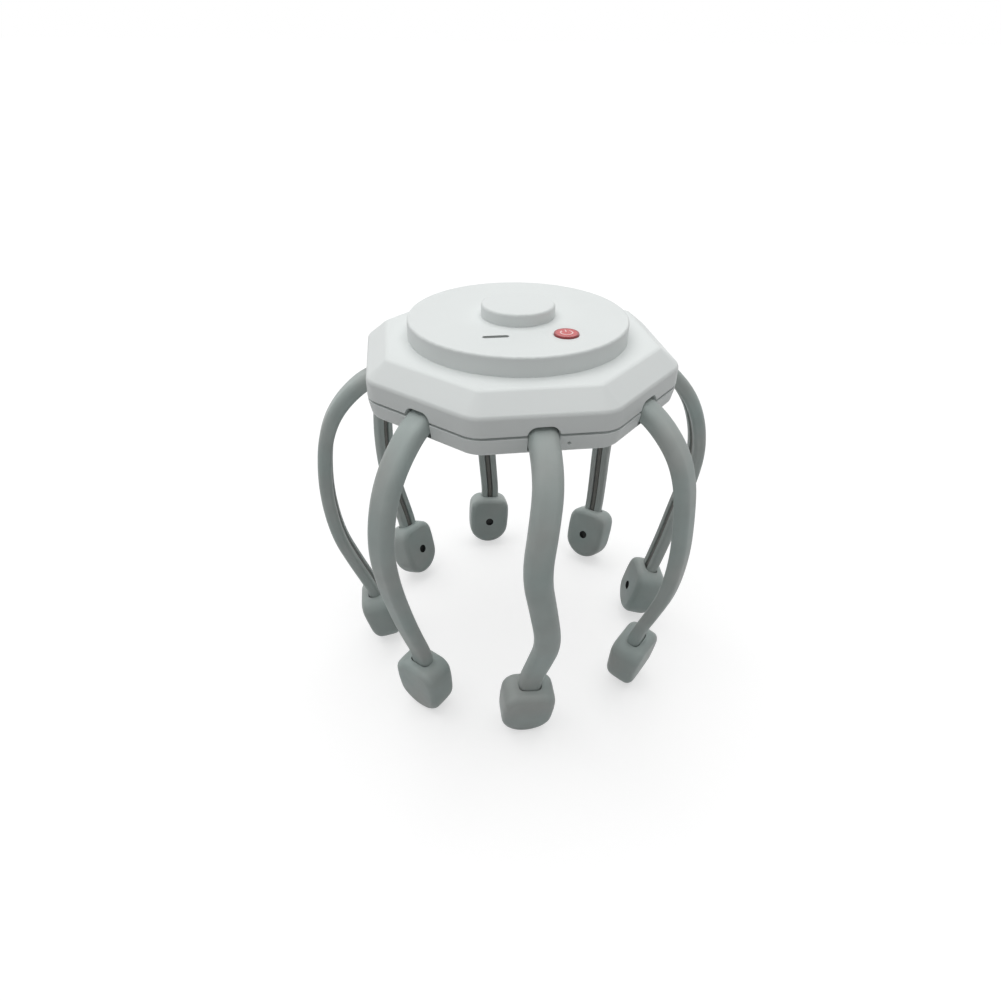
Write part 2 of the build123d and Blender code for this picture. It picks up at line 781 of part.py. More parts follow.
    # eccentric weight and its shaft
    with BuildPart() as motor_rotor:
        with BuildSketch(can_plane.offset(motor_length - shaft_seat)):
            Circle(shaft_diameter / 2)
        extrude(amount=shaft_seat + weight_gap + weight_length)
        with BuildSketch(can_plane.offset(motor_length + weight_gap)):
            small_circle(weight_radius)
            with Locations((0, weight_radius / 2)):
                Rectangle(2 * weight_radius, weight_radius, mode=Mode.INTERSECT)
        extrude(amount=weight_length)
    publish(motor_rotor.part, f"motor_rotor_{name}")
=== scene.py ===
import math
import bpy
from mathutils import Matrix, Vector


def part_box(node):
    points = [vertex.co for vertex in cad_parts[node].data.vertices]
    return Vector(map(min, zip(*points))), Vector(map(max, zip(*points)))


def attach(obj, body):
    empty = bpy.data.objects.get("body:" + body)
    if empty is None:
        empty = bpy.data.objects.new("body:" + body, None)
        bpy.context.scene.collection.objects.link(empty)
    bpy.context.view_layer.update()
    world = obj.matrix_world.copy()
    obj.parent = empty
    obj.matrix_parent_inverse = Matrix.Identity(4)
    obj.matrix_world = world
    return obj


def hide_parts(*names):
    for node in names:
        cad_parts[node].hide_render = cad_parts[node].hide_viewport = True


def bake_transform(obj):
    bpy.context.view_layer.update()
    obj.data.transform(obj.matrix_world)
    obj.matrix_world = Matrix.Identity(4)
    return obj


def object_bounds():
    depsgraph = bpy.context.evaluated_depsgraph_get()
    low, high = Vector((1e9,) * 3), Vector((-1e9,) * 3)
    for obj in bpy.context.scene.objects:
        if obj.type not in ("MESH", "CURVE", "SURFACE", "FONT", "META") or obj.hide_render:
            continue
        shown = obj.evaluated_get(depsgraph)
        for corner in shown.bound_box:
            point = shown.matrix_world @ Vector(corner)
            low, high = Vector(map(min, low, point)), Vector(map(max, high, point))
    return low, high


bl_info = {
    "name": "Electric scalp massager",
    "version": (1, 0, 0),
    "blender": (4, 5, 0),
    "location": "View3D > Sidebar > Massager",
    "description": "Dresses the massager's working frame: shells, button, arms, heads and finishes",
    "category": "Object",
}

import bmesh
import bpy
from bpy.props import FloatProperty, FloatVectorProperty, PointerProperty
from mathutils import Matrix, Vector

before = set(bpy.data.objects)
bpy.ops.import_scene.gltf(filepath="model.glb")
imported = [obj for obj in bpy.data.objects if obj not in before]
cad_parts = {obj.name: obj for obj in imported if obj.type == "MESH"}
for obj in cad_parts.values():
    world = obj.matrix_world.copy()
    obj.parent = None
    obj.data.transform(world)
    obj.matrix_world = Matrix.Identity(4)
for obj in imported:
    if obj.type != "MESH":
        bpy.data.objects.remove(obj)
cad_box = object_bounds()

MM = 0.001
ARM_NAMES = [
    "front", "front_right", "right", "rear_right", "rear", "rear_left", "left", "front_left",
]

# Heights of the housing, in millimetres above its flat underside.
PARTING = 8.0
SEAM = 0.95
SHOULDER = 15.6
PLATE = 22.4
DISC = 30.1
BOSS = 35.1
WALL = 2.0
FLOOR = 2.0
CEILING = PLATE - WALL
DISC_CEILING = DISC - WALL
BOARD_TOP = 21.5
LAP = 0.5  # overlap of solids that are joined

# The housing has eight sides, with an arm in the middle of each.
SIDE_ANGLE = 45.0
HALF_SIDE = math.radians(SIDE_ANGLE / 2)
LOWER_TAPER = 1.4
SMALL_GAP = 0.02
MERGE_GAP = 0.4
LARGE_FACE = 1e-4  # square metres

# Arched openings for the arms: heights, and distances from the centre.
NOTCH_LOW = 1.1
NOTCH_TOP = 11.1
NOTCH_INNER = 51.5
NOTCH_SKIN = 61.6
NOTCH_FOOT_ROUND = 0.8
NOTCH_FLARE = 0.5
NOTCH_PLAY = 0.15

# Arm centre line: distance out, height from the parting line, and how much of the belly,
# calf and tip leans reaches that point.
ARM_LINE = [
    (53.0, 0.0, (0.0, 0.0, 0.0)),
    (60.8, 0.0, (0.0, 0.0, 0.0)),
    (74.9, -12.0, (0.0, 0.0, 0.0)),
    (82.9, -25.8, (0.5, 0.0, 0.0)),
    (86.6, -44.0, (1.0, 0.0, 0.0)),
    (86.4, -62.0, (0.5, 0.5, 0.0)),
    (83.2, -81.5, (0.0, 1.0, 0.0)),
    (78.6, -97.0, (0.0, 0.5, 0.5)),
]
NECK_RADIUS = 73.3
NECK_DROP = 112.5
NECK_LENGTH = 5.0
SOCKET_DEPTH = 6.5
ARM_OUTER_ROUND = 3.4
ARM_INNER_ROUND = 1.5
GROOVE_ROUND = 0.4
ROOT_FLANGE = (15.4, 3.0, 9.0)
ROOT_FLANGE_RADIUS = 54.5
LEAD_OFFSET = 2.0  # from the arm's middle towards its inner face
LEAD_HALF = (0.7, 1.4)

# Massage heads: heights from the top of the head, widths there, and how much thinner the head
# is there on its outer and inner side.
HEAD_SHOULDER = -10.0
HEAD_CALF = -18.4
HEAD_TOP_WIDTH = 22.0
HEAD_CALF_WIDTH = 22.8
HEAD_FOOT_WIDTH = 19.8
HEAD_CALF_THINNING = (0.4, 0.1)
HEAD_FOOT_THINNING = (1.7, 1.5)
HEAD_FOOT_ROUND = 9.8
HEAD_TOP_ROUND = 6.2
HEAD_RIM_ROUND = 3.3
DIMPLE_DROP = 14.8
DIMPLE_RADIUS = 2.25
DIMPLE_DEPTH = 2.5

# For each arm: sideways lean and outward lean at belly, calf and tip.
ARM_LEAN = {
    "front": ((-5.5, 1.5, -2.5), (0.0, 0.0, -1.5)),
    "front_right": ((0.0, 0.0, 0.5), (-2.5, 0.0, -1.0)),
    "right": ((-1.5, 0.0, 0.0), (1.0, -0.5, 2.5)),
    "rear_right": ((0.0, -0.5, -1.0), (0.0, 1.0, 8.5)),
    "rear": ((1.8, 3.6, 1.5), (0.0, 0.5, 6.5)),
    "rear_left": ((-0.5, 1.5, -1.5), (-0.5, 1.5, 3.8)),
    "left": ((0.0, 0.0, 0.6), (-1.0, 0.5, -1.8)),
    "front_left": ((0.0, 0.5, 1.0), (0.0, -3.0, -3.0)),
}

# For each head: how far its foot tips in, and how far it tips to the side, in degrees.
HEAD_HANG = {
    "front": (8.0, -4.0),
    "front_right": (8.6, 7.4),
    "right": (16.0, 0.0),
    "rear_right": (18.5, -3.0),
    "rear": (12.0, 4.5),
    "rear_left": (20.7, 5.0),
    "left": (12.0, -3.0),
    "front_left": (5.5, 0.5),
}

# How far the soft heads are twisted on their arms, in degrees.
HEAD_TWIST = {"right": 5.0, "rear_left": -3.0}

# Screws, and what stands inside the shells.
QUARTERS = (0, 90, 180, 270)
SCREW_CIRCLE = 54.0
SCREW_START = -67.5
SCREW_HEAD = 4.6
CASE_POST = 3.75
BOARD_POST = 3.0
BOARD_CIRCLE = 28.0
RIB = (18.0, 1.5)
RIB_RADIUS = 50.75
RIB_FOOT = 1.0
GATE = (3.8, 4.0, 11.0)
TRAY = (52.8, 36.8, 3.0)
TRAY_INSIDE = (50.4, 34.4, 9.0)
TRAY_MIDDLE = 2.5

# Openings in the lower shell: the charging mouth behind, and the pinhole in front.
MOUTH = (9.3, 3.6)
MOUTH_PLACE = (17.0, 60.0, 4.6)
PINHOLE_PLACE = (9.3, -61.2, 3.9)

# Button and indicator slot.
BUTTON_PLACE = (15.0, -23.5)
BUTTON_GAP = 0.15
CAP_FOOT = 27.5
CAP_RISE = 0.55
CAP_DISH = 0.12
CAP_RIM = 0.75
FLANGE = (26.75, 27.95)
STEM = (25.9, 27.0)
SIGN_RADIUS = 2.3
SIGN_LINE = 0.52
SIGN_FLATNESS = 0.3
SIGN_GAP = 72.0
SLOT_PLACE = (-12.2, -23.5)
SLOT_LENGTH = 10.3
SLOT_WIDTH = 2.4
WINDOW_SUNK = 0.25
RECESS_DEPTH = 0.35
RECESS_SLOPE = 0.9

# Sockets of Blender's Mix node, when it mixes colours.
MIX_FACTOR, MIX_FIRST, MIX_SECOND, MIX_RESULT = 0, 6, 7, 2
PATTERN_RANGE = (0.3, 0.7)
GRAIN_DEPTH = 0.02

# Stage.
FLOOR_SIZE = 60.0
FLOOR_GAP = 0.0002
FLOOR_GLOW = 0.6
AIR_LEVEL = 0.23
LAMP_DIRECTION = (-0.07, 0.19, 1.0)
LAMP_SPREAD = 80.0
LAMP_ENERGY = 2.26
SENSOR = 36.0
FOCAL_SHARE = 693.09 / 1001.0  # focal length by the width of the frame
CAMERA_PLACE = (
    (0.990515, 0.069772, -0.118369, -0.045594),
    (-0.137147, 0.554522, -0.820790, -0.271897),
    (0.008370, 0.829239, 0.558832, 0.124700),
    (0, 0, 0, 1),
)


def linear(red, green, blue):
    """Colour written as screen values 0-255, as Blender's linear colour."""
    return tuple(
        (part / 255 / 12.92) if part / 255 <= 0.04045 else ((part / 255 + 0.055) / 1.055) ** 2.4
        for part in (red, green, blue)
    )


def length(name, description, millimetres):
    """A size that a user can change."""
    return FloatProperty(
        name=name, description=description, default=millimetres * MM, min=0.0, unit="LENGTH",
        subtype="DISTANCE", precision=4,
    )


def colour(name, description, red, green, blue):
    """A colour that a user can change."""
    return FloatVectorProperty(
        name=name, description=description, default=linear(red, green, blue), min=0.0, max=1.0,
        size=3, subtype="COLOR",
    )


class MassagerSizes(bpy.types.PropertyGroup):
    """Sizes of the massager's skins."""

    across_flats: length("Across flats", "Housing, between opposite sides", 124.0)
    corner: length("Upright corners", "Radius of the housing's upright corners", 10.0)
    shoulder_inset: length("Shoulder", "How far the sloping shoulder leans in", 8.5)
    soft_edge: length("Soft edge", "Rounding of shoulder, plate, disc and boss edges", 1.1)
    seam_edge: length("Seam edge", "Rounding of the shells along the seam", 0.3)
    disc: length("Disc", "Diameter of the raised disc", 90.0)
    boss: length("Boss", "Diameter of the centre boss", 30.0)
    notch_width: length("Notch width", "Width of the arched openings for the arms", 11.9)
    notch_corner: length("Notch arch", "Radius of the openings' upper corners", 3.7)
    button: length("Button", "Diameter of the power button", 9.7)
    recess: length("Button recess", "Diameter of the shallow ring round the button", 15.6)
    arm_width: length("Arm width", "Arm, at the housing", 11.4)
    arm_tip_width: length("Arm tip width", "Arm, at the massage head", 9.8)
    arm_thickness: length("Arm thickness", "Arm, from its outer to its inner face", 6.6)
    groove_width: length("Groove width", "Lead groove down the inner face", 3.6)
    groove_depth: length("Groove depth", "Lead groove down the inner face", 2.2)
    head_width: length("Head width", "Massage head at its widest", 23.4)
    head_height: length("Head height", "Massage head from top to foot", 29.3)
    head_thickness: length("Head thickness", "Massage head from outer to inner face", 15.0)


class MassagerColours(bpy.types.PropertyGroup):
    """Colours of the massager's finishes."""

    shell: colour("Shells", "Moulded white housing", 231, 235, 234)
    silicone: colour("Silicone", "Arms and massage heads", 167, 176, 174)
    groove: colour("Groove", "Lead sleeve in the arm grooves", 106, 106, 102)
    # painted shade: a near-black colour for the dimples' hollows, standing in for the shade inside
    # them
    dimple: colour("Dimple", "Dark lining of the heads' dimples", 30, 33, 32)
    # painted light: the button is one red plastic; this darker red is painted shade on its side and
    # rim, and the face red below is a lighter copy of it, painted light
    button: colour("Button", "Side and rim of the power button", 156, 40, 44)
    button_face: colour("Button face", "Dished face of the power button", 200, 62, 64)
    sign: colour("Sign", "Power sign on the button", 240, 206, 204)
    window: colour("Window", "Indicator window", 88, 93, 91)
    floor: colour("Floor", "Studio floor", 186, 186, 186)


# ---- small helpers, used by every piece ----
def leave_edit():
    """Back to object mode with nothing selected."""
    if bpy.context.object and bpy.context.object.mode != "OBJECT":
        bpy.ops.object.mode_set(mode="OBJECT")
    bpy.ops.object.select_all(action="DESELECT")


def choose(obj):
    """Makes one object the only selected and active one."""
    leave_edit()
    obj.select_set(True)
    bpy.context.view_layer.objects.active = obj


def edit(obj):
    """Opens an object in edit mode with nothing selected."""
    choose(obj)
    bpy.ops.object.mode_set(mode="EDIT")
    bpy.ops.mesh.select_all(action="DESELECT")


def select_every():
    """Selects the whole of the open mesh."""
    bpy.ops.mesh.select_all(action="SELECT")


def pick(kind, test):
    """Selects the vertices, edges or faces of the open mesh that pass a test."""
    bpy.ops.mesh.select_mode(type=kind)
    bpy.ops.mesh.select_all(action="DESELECT")
    mesh = bmesh.from_edit_mesh(bpy.context.edit_object.data)
    items = {"VERT": mesh.verts, "EDGE": mesh.edges, "FACE": mesh.faces}[kind]
    count = 0
    for item in items:
        if test(item):
            item.select_set(True)
            count += 1
    mesh.select_flush_mode()
    bmesh.update_edit_mesh(bpy.context.edit_object.data)
    return count


def near(value, target):
    """Whether a length in metres is a target in millimetres."""
    return abs(value - target * MM) < SMALL_GAP * MM


def flat_edge(height):
    """Test for edges and faces that lie at a height."""
    return lambda e: all(near(v.co.z, height) for v in e.verts)


def upright_edge(least):
    """Test for edges that rise by more than a height."""
    return lambda e: abs(e.verts[0].co.z - e.verts[1].co.z) > least * MM


def round_edges(obj, test, width, segments):
    """Rounds the edges that pass a test."""
    edit(obj)
    if not pick("EDGE", test):
        raise RuntimeError(f"no edges to round on {obj.name}")
    bpy.ops.mesh.bevel(
        offset=width * MM, segments=segments, affect="EDGES", clamp_overlap=False
    )
    leave_edit()
    return obj


def extrude(move):
    """Extrudes what is selected, by a move in millimetres."""
    bpy.ops.mesh.extrude_region_move(
        TRANSFORM_OT_translate={"value": [part * MM for part in move]}
    )


def rename(obj, name):
    """Names an object and its data."""
    obj.name = name
    obj.data.name = name
    return obj


def new_object(name, data):
    """Puts data into the scene as an object."""
    obj = bpy.data.objects.new(name, data)
    bpy.context.scene.collection.objects.link(obj)
    return rename(obj, name)


def apply_place(obj, name):
    """Puts an object's place and size into its mesh, and names it."""
    choose(obj)
    bpy.ops.object.transform_apply(location=True, rotation=True, scale=True)
    return rename(obj, name)


def modify(obj, name, kind, **settings):
    """Adds a modifier to an object and applies it."""
    choose(obj)
    modifier = obj.modifiers.new(name, kind)
    for setting, value in settings.items():
        setattr(modifier, setting, value)
    bpy.ops.object.modifier_apply(modifier=modifier.name)


def outward(obj):
    """Turns all the faces of a closed mesh outwards."""
    edit(obj)
    select_every()
    bpy.ops.mesh.normals_make_consistent(inside=False)
    leave_edit()
    return obj


def block(name, extent, place, turn=0.0):
    """Box of a size about a place, in millimetres."""
    leave_edit()
    bpy.ops.mesh.primitive_cube_add(
        size=MM, location=[part * MM for part in place], rotation=(0, 0, turn)
    )
    obj = bpy.context.object
    obj.scale = extent
    return apply_place(obj, name)


def slab(name, extent, low, high, place=(0.0, 0.0)):
    """Box between two heights, in millimetres."""
    return block(name, (*extent, high - low), (*place, (low + high) / 2))


def post(name, radius, low, high, place=(0.0, 0.0), sides=64, top_radius=None):
    """Upright cylinder or cone between two heights, in millimetres."""
    leave_edit()
    if top_radius is None:
        top_radius = radius
    bpy.ops.mesh.primitive_cone_add(
        vertices=sides, radius1=radius * MM, radius2=top_radius * MM, depth=(high - low) * MM,
        location=(place[0] * MM, place[1] * MM, (low + high) / 2 * MM),
    )
    return apply_place(bpy.context.object, name)


def combine(target, tool, operation):
    """Adds or cuts one solid with another, and removes the tool."""
    for solid in (target, tool):
        edit(solid)
        select_every()
        bpy.ops.mesh.quads_convert_to_tris(quad_method="BEAUTY", ngon_method="BEAUTY")
    modify(target, "combine", "BOOLEAN", operation=operation, solver="MANIFOLD", object=tool)
    bpy.data.objects.remove(tool)


def add(target, *tools):
    """Joins solids to one."""
    for tool in tools:
        combine(target, tool, "UNION")


def cut(target, *tools):
    """Cuts solids out of one."""
    for tool in tools:
        combine(target, tool, "DIFFERENCE")


def duplicate(obj, name, matrix):
    """Copy of an object with its own mesh, moved in the mesh."""
    copy = new_object(name, obj.data.copy())
    copy.data.transform(matrix)
    return copy


def join(objects, name):
    """Joins objects into one."""
    leave_edit()
    for obj in objects:
        obj.select_set(True)
    bpy.context.view_layer.objects.active = objects[0]
    bpy.ops.object.join()
    return rename(objects[0], name)


def smooth(obj, angle=32.0):
    """Smooth shading, with creases kept sharp."""
    choose(obj)
    bpy.ops.object.shade_smooth_by_angle(angle=math.radians(angle))
    modify(obj, "even_shading", "WEIGHTED_NORMAL", keep_sharp=True, weight=100)
    leave_edit()


def size(name):
    """A size that the sidebar shows, in millimetres."""
    return getattr(bpy.context.scene.massager_sizes, name) / MM


def colours():
    """The colours that the sidebar shows."""
    return bpy.context.scene.massager_colours


def turned(index):
    """Turn about the upright axis from the front arm to another."""
    return Matrix.Rotation(math.radians(SIDE_ANGLE * index), 4, "Z")


def all_round(one, name):
    """Repeats a tool at all eight sides, as one object."""
    return join([one] + [duplicate(one, f"{name}_{i}", turned(i)) for i in range(1, 8)], name)


def around(radius, degrees):
    """Place on a circle about the centre."""
    return radius * math.cos(math.radians(degrees)), radius * math.sin(math.radians(degrees))


def screw_place(turn):
    """Place of a case screw."""
    return around(SCREW_CIRCLE, SCREW_START + turn)


def lie_down(obj, place):
    """Turns an upright tool to point front to back, at a place in millimetres."""
    move = Matrix.Translation([part * MM for part in place])
    obj.data.transform(move @ Matrix.Rotation(math.pi / 2, 4, "X"))
    return outward(obj)


def arm_directions(name):
    """Directions of an arm: out from the centre, and sideways, anticlockwise from above."""
    azimuth = math.radians(-90.0 + SIDE_ANGLE * ARM_NAMES.index(name))
    out = Vector((math.cos(azimuth), math.sin(azimuth), 0.0))
    side = Vector((-math.sin(azimuth), math.cos(azimuth), 0.0))
    return out, side


# ---- finishes ----
def finish(name):
    """New node material with its shader and its object coordinates."""
    material = bpy.data.materials.new(name)
    material.use_nodes = True
    tree = material.node_tree
    place = tree.nodes.new("ShaderNodeTexCoord")
    return material, tree, tree.nodes["Principled BSDF"], place.outputs["Object"]


def constants(shader, values):
    """Sets numbers that are the same all over on the shader's own sockets."""
    for name, value in values.items():
        shader.inputs[name].default_value = value


def noise(tree, vector, scale, detail=2.0):
    """Noise pattern over the object's own coordinates."""
    node = tree.nodes.new("ShaderNodeTexNoise")
    node.inputs["Scale"].default_value = scale
    node.inputs["Detail"].default_value = detail
    tree.links.new(vector, node.inputs["Vector"])
    return node.outputs["Fac"]


def spread(tree, value, low, high):
    """Maps a pattern to a range."""
    node = tree.nodes.new("ShaderNodeMapRange")
    limits = (*PATTERN_RANGE, low, high)
    for name, limit in zip(("From Min", "From Max", "To Min", "To Max"), limits):
        node.inputs[name].default_value = limit
    tree.links.new(value, node.inputs["Value"])
    return node.outputs["Result"]


def blend_colours(tree, factor, first, second):
    """Colour between two, by a pattern."""
    node = tree.nodes.new("ShaderNodeMix")
    node.data_type = "RGBA"
    tree.links.new(factor, node.inputs[MIX_FACTOR])
    node.inputs[MIX_FIRST].default_value = (*first, 1.0)
    node.inputs[MIX_SECOND].default_value = (*second, 1.0)
    return node.outputs[MIX_RESULT]


def tone(base, amount):
    """A colour made lighter or darker."""
    return tuple(min(1.0, part * amount) for part in base)


def bumps(tree, shader, heights, strength, distance):
    """Fine relief on a shader."""
    node = tree.nodes.new("ShaderNodeBump")
    node.inputs["Strength"].default_value = strength
    node.inputs["Distance"].default_value = distance * MM
    tree.links.new(heights, node.inputs["Height"])
    tree.links.new(node.outputs["Normal"], shader.inputs["Normal"])


def mottled(name, base, contrast, patch, gloss, grain, strength):
    """Material with soft patches of tone, uneven gloss and a fine grain, sized in millimetres."""
    material, tree, shader, place = finish(name)
    patches = spread(tree, noise(tree, place, 1000.0 / patch, 3.0), 0.0, 1.0)
    paint = blend_colours(tree, patches, tone(base, 1.0 - contrast), tone(base, 1.0 + contrast))
    tree.links.new(paint, shader.inputs["Base Color"])
    shine = noise(tree, place, 1000.0 / (patch * 0.4), 4.0)
    tree.links.new(spread(tree, shine, *gloss), shader.inputs["Roughness"])
    bumps(tree, shader, noise(tree, place, 1000.0 / grain), strength, GRAIN_DEPTH)
    return material, tree, shader, place


def shell_plastic():
    """Moulded white plastic with a satin grain."""
    material, _, shader, _ = mottled(
        "moulded_white_plastic", colours().shell, 0.012, 40.0, (0.36, 0.46), 0.35, 0.25
    )
    constants(shader, {"IOR": 1.46, "Specular IOR Level": 0.18})
    return material


def soft_silicone():
    """Matt grey silicone with a powdery surface and a faint change of tint."""
    material, tree, shader, place = mottled(
        "grey_silicone", colours().silicone, 0.045, 9.0, (0.42, 0.54), 0.22, 0.35
    )
    paint = shader.inputs["Base Color"].links[0].from_socket
    cast = spread(tree, noise(tree, place, 45.0, 1.0), 0.0, 1.0)
    tint = blend_colours(tree, cast, (0.955, 1.01, 1.0), (1.04, 0.995, 0.985))
    tinted = tree.nodes.new("ShaderNodeMix")
    tinted.data_type = "RGBA"
    tinted.blend_type = "MULTIPLY"
    tinted.inputs[MIX_FACTOR].default_value = 1.0
    tree.links.new(paint, tinted.inputs[MIX_FIRST])
    tree.links.new(tint, tinted.inputs[MIX_SECOND])
    tree.links.new(tinted.outputs[MIX_RESULT], shader.inputs["Base Color"])
    constants(shader, {"Sheen Weight": 0.12, "Sheen Roughness": 0.6, "IOR": 1.43})
    return material


def button_red(name, base):
    """Glossy red button plastic."""
    material, _, shader, _ = mottled(name, base, 0.03, 5.0, (0.24, 0.32), 0.3, 0.12)
    constants(shader, {"Coat Weight": 0.25, "Coat Roughness": 0.2})
    return material


def plain(name, base, gloss=(0.4, 0.5), metal=0.0, patch=6.0, contrast=0.03, grain=0.3):
    """Finish for a small part, with its own fine variation."""
    material, _, shader, _ = mottled(name, base, contrast, patch, gloss, grain, 0.2)
    constants(shader, {"Metallic": metal})
    return material


def brushed(name, base, gloss):
    """Metal with fine lines round its length."""
    material, tree, shader, place = finish(name)
    stretch = tree.nodes.new("ShaderNodeMapping")
    stretch.inputs["Scale"].default_value = (200.0, 200.0, 3000.0)
    tree.links.new(place, stretch.inputs["Vector"])
    lines = noise(tree, stretch.outputs["Vector"], 1.0, 3.0)
    share = spread(tree, lines, 0.0, 1.0)
    paint = blend_colours(tree, share, tone(base, 0.93), tone(base, 1.05))
    tree.links.new(paint, shader.inputs["Base Color"])
    tree.links.new(spread(tree, lines, *gloss), shader.inputs["Roughness"])
    bumps(tree, shader, lines, 0.15, 0.01)
    constants(shader, {"Metallic": 1.0})
    return material


def dress(obj, material):
    """Gives a piece one finish."""
    obj.data.materials.clear()
    obj.data.materials.append(material)
    return obj


def second_finish(obj, material, test):
    """Gives the faces that pass a test another finish."""
    obj.data.materials.append(material)
    edit(obj)
    if not pick("FACE", test):
        raise RuntimeError(f"no faces for {material.name} on {obj.name}")
    obj.active_material_index = len(obj.data.materials) - 1
    bpy.ops.object.material_slot_assign()
    leave_edit()


# ---- housing ----
def octagon_block(name, flats, corner, low, high):
    """Eight-sided block with rounded upright corners, a flat to the front, left in edit mode."""
    leave_edit()
    bpy.ops.mesh.primitive_circle_add(
        vertices=8, radius=flats / math.cos(HALF_SIDE) * MM, fill_type="NGON",
        location=(0, 0, low * MM), rotation=(0, 0, HALF_SIDE),
    )
    obj = apply_place(bpy.context.object, name)
    edit(obj)
    select_every()
    if corner:
        bpy.ops.mesh.bevel(
            offset=corner * math.tan(HALF_SIDE) * MM, segments=9, affect="VERTICES",
            clamp_overlap=False,
        )
        select_every()
    extrude((0, 0, high - low))
    return obj


def soften(obj, height, width, segments=4, inside=0.0):
    """Rounds the edges at a height that lie further out than a distance."""
    ring = flat_edge(height)
    round_edges(
        obj, lambda e: ring(e) and all(v.co.xy.length > inside * MM for v in e.verts),
        width, segments,
    )


def ring_top(obj, height, share):
    """Divides the flat top of a block with a ring, so that no large face is left round a hole."""
    level = flat_edge(height)
    edit(obj)
    pick("VERT", lambda v: near(v.co.z, height))
    bpy.ops.mesh.remove_doubles(threshold=MERGE_GAP * MM)
    pick("FACE", lambda f: level(f) and f.calc_area() > LARGE_FACE)
    bpy.ops.mesh.inset(thickness=0.0, depth=0.0)
    bpy.ops.transform.resize(value=(share, share, 1), center_override=(0, 0, height * MM))
    leave_edit()


def shoulder_block(name, flats, corner, low, shoulder, plate, inset):
    """Eight-sided block whose upper part slopes in to a flat plate."""
    obj = octagon_block(name, flats, corner, low, shoulder)
    bpy.ops.mesh.inset(thickness=inset * MM, depth=0.0, use_boundary=True, use_even_offset=True)
    bpy.ops.transform.translate(value=(0, 0, (plate - shoulder) * MM))
    return outward(obj)


def notch_cutter(width):
    """All eight arched openings, each flared a little where it meets the side."""
    height = NOTCH_TOP - NOTCH_LOW
    middle = -(NOTCH_INNER + NOTCH_SKIN) / 2
    one = slab("notch", (width, NOTCH_SKIN - NOTCH_INNER), NOTCH_LOW, NOTCH_TOP, (0, middle))
    rounds = (
        (NOTCH_TOP, size("notch_corner"), 7), (NOTCH_LOW, NOTCH_FOOT_ROUND, 2),
    )
    for level, radius, segments in rounds:
        flat = flat_edge(level)
        round_edges(
            one, lambda e: flat(e) and near(e.verts[0].co.x, e.verts[1].co.x / MM),
            radius, segments,
        )
    edit(one)
    pick("FACE", lambda f: all(near(v.co.y, -NOTCH_SKIN) for v in f.verts))
    extrude((0, -NOTCH_FLARE, 0))
    bpy.ops.transform.resize(
        value=((width + 0.3) / width, 1, (height + 0.5) / height),
        center_override=(0, -NOTCH_SKIN * MM, (NOTCH_LOW + NOTCH_TOP) / 2 * MM),
    )
    extrude((0, -6, 0))
    return all_round(outward(one), "notches")


def slot_cutter(name, long, wide, low, high, place=(0.0, 0.0)):
    """Round-ended slot cutter."""
    obj = slab(name, (long, wide), low, high, place)
    return round_edges(obj, upright_edge((high - low) * 0.5), wide * 0.499, 8)


def rib_ring(low, high):
    """The eight ribs that hold the arms' root flanges from within."""
    return all_round(slab("rib", RIB, low, high, (0, -RIB_RADIUS)), "ribs")


class MASSAGER_OT_upper_shell(bpy.types.Operator):
    """Builds the upper shell with its shoulder, plate, disc, boss, notches and button recess"""

    bl_idname = "massager.upper_shell"
    bl_label = "Upper shell"

    def execute(self, context):
        flats = size("across_flats") / 2
        inset = size("shoulder_inset")
        edge = size("soft_edge")
        disc_radius = size("disc") / 2
        boss_radius = size("boss") / 2
        recess_radius = size("recess") / 2
        shell = shoulder_block(
            "upper_shell", flats, size("corner"), PARTING, SHOULDER, PLATE, inset
        )
        soften(shell, SHOULDER, edge, inside=40.0)
        soften(shell, PLATE, edge)
        soften(shell, PARTING, size("seam_edge"), 2)
        ring_top(shell, PLATE, 0.7)
        disc = post("disc", disc_radius, CEILING, DISC, sides=168)
        soften(disc, DISC, edge)
        ring_top(disc, DISC, 0.3)
        boss = post("boss", boss_radius, DISC_CEILING, BOSS, sides=96)
        soften(boss, BOSS, edge)
        add(shell, disc, boss)

        # hollow, then the posts and ribs that stand in it
        hollow = shoulder_block(
            "hollow", flats - WALL, 0.0, PARTING - WALL, SHOULDER - 0.7, CEILING, inset * 0.93
        )
        cut(
            shell, hollow,
            post("disc_hollow", disc_radius - WALL, CEILING - LAP, DISC_CEILING, sides=96),
            post("boss_hollow", boss_radius - WALL, DISC_CEILING - LAP, BOSS - WALL, sides=48),
        )
        foot = PARTING - SEAM / 2
        for turn in QUARTERS:
            add(shell, post("case_post", CASE_POST, foot, CEILING + LAP, screw_place(turn), 32))
        for turn in (90, 210, 330):
            place = around(BOARD_CIRCLE, turn)
            add(shell, post("board_post", BOARD_POST, BOARD_TOP, DISC_CEILING + LAP, place, 32))
        add(shell, rib_ring(PARTING - 0.2, CEILING + LAP))

        # openings
        cut(
            shell, notch_cutter(size("notch_width")),
            post(
                "recess", recess_radius - RECESS_SLOPE, DISC - RECESS_DEPTH, DISC + RECESS_DEPTH,
                BUTTON_PLACE, 120, recess_radius + RECESS_SLOPE,
            ),
            post(
                "button_hole", size("button") / 2 + BUTTON_GAP, DISC_CEILING - 1, DISC + 1,
                BUTTON_PLACE, 80,
            ),
            slot_cutter("slot", SLOT_LENGTH, SLOT_WIDTH, DISC_CEILING - 1, DISC + 1, SLOT_PLACE),
        )
        smooth(shell)
        dress(shell, shell_plastic())
        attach(shell, "housing")
        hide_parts("top_cover")
        return {"FINISHED"}


